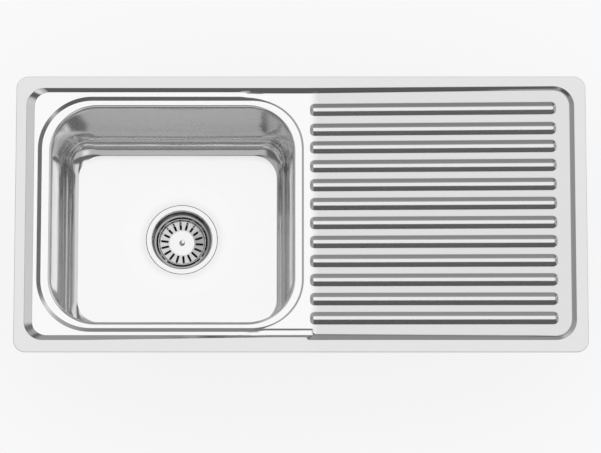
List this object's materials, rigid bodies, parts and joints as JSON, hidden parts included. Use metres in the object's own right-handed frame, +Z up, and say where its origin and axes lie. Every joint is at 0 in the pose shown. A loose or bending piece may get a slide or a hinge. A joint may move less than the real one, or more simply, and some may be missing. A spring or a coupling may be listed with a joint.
{
  "type": "kitchen sink with drainboard",
  "caption": "Inset stainless kitchen sink with one bowl on the left, a ribbed drainboard on the right, a strainer basket waste and worktop clips.",
  "frame": {"origin": "middle of the rim, on the plane of the worktop that the rim seal rests on", "axes": "+X along the sink from the bowl to the drainboard, +Y to the rear, +Z up"},
  "size_m": [0.9, 0.45, 0.249],
  "materials": {
    "polished_deck": "fine satin polish, pressed 18/10 stainless sheet",
    "polished_bowl": "fine satin polish, deep drawn stainless sheet",
    "polished_waste": "polished stainless",
    "polished_basket": "polished stainless",
    "foam_seal": "closed-cell foam strip",
    "bitumen_pad": "matt bitumen sheet",
    "black_rubber": "moulded rubber",
    "white_plastic": "moulded polypropylene",
    "black_plastic": "moulded polypropylene",
    "brass": "machined",
    "zinc_plate": "bright zinc plate",
    "galvanised_sheet": "galvanised sheet steel",
    "spring_steel": "spring steel"
  },
  "bodies": {
    "sink": {"sink_top": "polished_deck", "bowl": "polished_bowl", "rim_seal": "foam_seal", "bowl_damping_pads": "bitumen_pad", "drainer_damping_pad": "bitumen_pad", "waste_flange": "polished_waste", "flange_seal": "black_rubber", "body_gasket": "black_rubber", "waste_body": "white_plastic", "screw_insert": "brass", "centre_screw": "polished_waste", "clip_brackets": "zinc_plate", "clip_bolts": "zinc_plate"},
    "strainer": {"strainer_basket": "polished_basket", "stopper_disc": "black_plastic", "stopper_rubber": "black_rubber", "basket_stem": "polished_basket", "stem_circlip": "spring_steel"},
    "clip_washer_1": {"clip_washer_1": "zinc_plate"},
    "clip_nut_1": {"clip_nut_1": "zinc_plate"},
    "clip_claw_1": {"clip_claw_1": "galvanised_sheet"},
    "clip_washer_2": {"clip_washer_2": "zinc_plate"},
    "clip_nut_2": {"clip_nut_2": "zinc_plate"},
    "clip_claw_2": {"clip_claw_2": "galvanised_sheet"},
    "clip_washer_3": {"clip_washer_3": "zinc_plate"},
    "clip_nut_3": {"clip_nut_3": "zinc_plate"},
    "clip_claw_3": {"clip_claw_3": "galvanised_sheet"},
    "clip_washer_4": {"clip_washer_4": "zinc_plate"},
    "clip_nut_4": {"clip_nut_4": "zinc_plate"},
    "clip_claw_4": {"clip_claw_4": "galvanised_sheet"},
    "clip_washer_5": {"clip_washer_5": "zinc_plate"},
    "clip_nut_5": {"clip_nut_5": "zinc_plate"},
    "clip_claw_5": {"clip_claw_5": "galvanised_sheet"},
    "clip_washer_6": {"clip_washer_6": "zinc_plate"},
    "clip_nut_6": {"clip_nut_6": "zinc_plate"},
    "clip_claw_6": {"clip_claw_6": "galvanised_sheet"},
    "clip_washer_7": {"clip_washer_7": "zinc_plate"},
    "clip_nut_7": {"clip_nut_7": "zinc_plate"},
    "clip_claw_7": {"clip_claw_7": "galvanised_sheet"},
    "clip_washer_8": {"clip_washer_8": "zinc_plate"},
    "clip_nut_8": {"clip_nut_8": "zinc_plate"},
    "clip_claw_8": {"clip_claw_8": "galvanised_sheet"}
  },
  "joints": [
    {"name": "basket_lift", "type": "slide", "parent": "sink", "child": "strainer", "axis": [0, 0, 1], "range_m": [0, 0.2]},
    {"name": "clip_rise_1", "type": "slide", "parent": "sink", "child": "clip_washer_1", "axis": [0, 0, 1], "range_m": [0, 0.02]},
    {"name": "clip_turn_1", "type": "hinge", "parent": "clip_washer_1", "child": "clip_nut_1", "pos_m": [-0.3, 0.2058, -0.0485], "axis": [0, 0, 1], "range_deg": [0, 7200]},
    {"name": "clip_swing_1", "type": "hinge", "parent": "clip_washer_1", "child": "clip_claw_1", "pos_m": [-0.3, 0.2058, -0.044], "axis": [0, 0, 1], "range_deg": [0, 90]},
    {"name": "clip_rise_2", "type": "slide", "parent": "sink", "child": "clip_washer_2", "axis": [0, 0, 1], "range_m": [0, 0.02]},
    {"name": "clip_turn_2", "type": "hinge", "parent": "clip_washer_2", "child": "clip_nut_2", "pos_m": [0.06, 0.205, -0.0485], "axis": [0, 0, 1], "range_deg": [0, 7200]},
    {"name": "clip_swing_2", "type": "hinge", "parent": "clip_washer_2", "child": "clip_claw_2", "pos_m": [0.06, 0.205, -0.044], "axis": [0, 0, 1], "range_deg": [0, 90]},
    {"name": "clip_rise_3", "type": "slide", "parent": "sink", "child": "clip_washer_3", "axis": [0, 0, 1], "range_m": [0, 0.02]},
    {"name": "clip_turn_3", "type": "hinge", "parent": "clip_washer_3", "child": "clip_nut_3", "pos_m": [0.34, 0.205, -0.0485], "axis": [0, 0, 1], "range_deg": [0, 7200]},
    {"name": "clip_swing_3", "type": "hinge", "parent": "clip_washer_3", "child": "clip_claw_3", "pos_m": [0.34, 0.205, -0.044], "axis": [0, 0, 1], "range_deg": [0, 90]},
    {"name": "clip_rise_4", "type": "slide", "parent": "sink", "child": "clip_washer_4", "axis": [0, 0, 1], "range_m": [0, 0.02]},
    {"name": "clip_turn_4", "type": "hinge", "parent": "clip_washer_4", "child": "clip_nut_4", "pos_m": [0.4306, 0, -0.0485], "axis": [0, 0, 1], "range_deg": [0, 7200]},
    {"name": "clip_swing_4", "type": "hinge", "parent": "clip_washer_4", "child": "clip_claw_4", "pos_m": [0.4306, 0, -0.044], "axis": [0, 0, 1], "range_deg": [0, 90]},
    {"name": "clip_rise_5", "type": "slide", "parent": "sink", "child": "clip_washer_5", "axis": [0, 0, 1], "range_m": [0, 0.02]},
    {"name": "clip_turn_5", "type": "hinge", "parent": "clip_washer_5", "child": "clip_nut_5", "pos_m": [0.34, -0.2022, -0.0485], "axis": [0, 0, 1], "range_deg": [0, 7200]},
    {"name": "clip_swing_5", "type": "hinge", "parent": "clip_washer_5", "child": "clip_claw_5", "pos_m": [0.34, -0.2022, -0.044], "axis": [0, 0, 1], "range_deg": [0, 90]},
    {"name": "clip_rise_6", "type": "slide", "parent": "sink", "child": "clip_washer_6", "axis": [0, 0, 1], "range_m": [0, 0.02]},
    {"name": "clip_turn_6", "type": "hinge", "parent": "clip_washer_6", "child": "clip_nut_6", "pos_m": [0.06, -0.2022, -0.0485], "axis": [0, 0, 1], "range_deg": [0, 7200]},
    {"name": "clip_swing_6", "type": "hinge", "parent": "clip_washer_6", "child": "clip_claw_6", "pos_m": [0.06, -0.2022, -0.044], "axis": [0, 0, 1], "range_deg": [0, 90]},
    {"name": "clip_rise_7", "type": "slide", "parent": "sink", "child": "clip_washer_7", "axis": [0, 0, 1], "range_m": [0, 0.02]},
    {"name": "clip_turn_7", "type": "hinge", "parent": "clip_washer_7", "child": "clip_nut_7", "pos_m": [-0.3, -0.203, -0.0485], "axis": [0, 0, 1], "range_deg": [0, 7200]},
    {"name": "clip_swing_7", "type": "hinge", "parent": "clip_washer_7", "child": "clip_claw_7", "pos_m": [-0.3, -0.203, -0.044], "axis": [0, 0, 1], "range_deg": [0, 90]},
    {"name": "clip_rise_8", "type": "slide", "parent": "sink", "child": "clip_washer_8", "axis": [0, 0, 1], "range_m": [0, 0.02]},
    {"name": "clip_turn_8", "type": "hinge", "parent": "clip_washer_8", "child": "clip_nut_8", "pos_m": [-0.4276, 0, -0.0485], "axis": [0, 0, 1], "range_deg": [0, 7200]},
    {"name": "clip_swing_8", "type": "hinge", "parent": "clip_washer_8", "child": "clip_claw_8", "pos_m": [-0.4276, 0, -0.044], "axis": [0, 0, 1], "range_deg": [0, 90]}
  ],
  "couplings": [
    {"joint": "clip_turn_1", "follows": "clip_rise_1", "rad_per_m": 6283.2},
    {"joint": "clip_turn_2", "follows": "clip_rise_2", "rad_per_m": 6283.2},
    {"joint": "clip_turn_3", "follows": "clip_rise_3", "rad_per_m": 6283.2},
    {"joint": "clip_turn_4", "follows": "clip_rise_4", "rad_per_m": 6283.2},
    {"joint": "clip_turn_5", "follows": "clip_rise_5", "rad_per_m": 6283.2},
    {"joint": "clip_turn_6", "follows": "clip_rise_6", "rad_per_m": 6283.2},
    {"joint": "clip_turn_7", "follows": "clip_rise_7", "rad_per_m": 6283.2},
    {"joint": "clip_turn_8", "follows": "clip_rise_8", "rad_per_m": 6283.2}
  ]
}
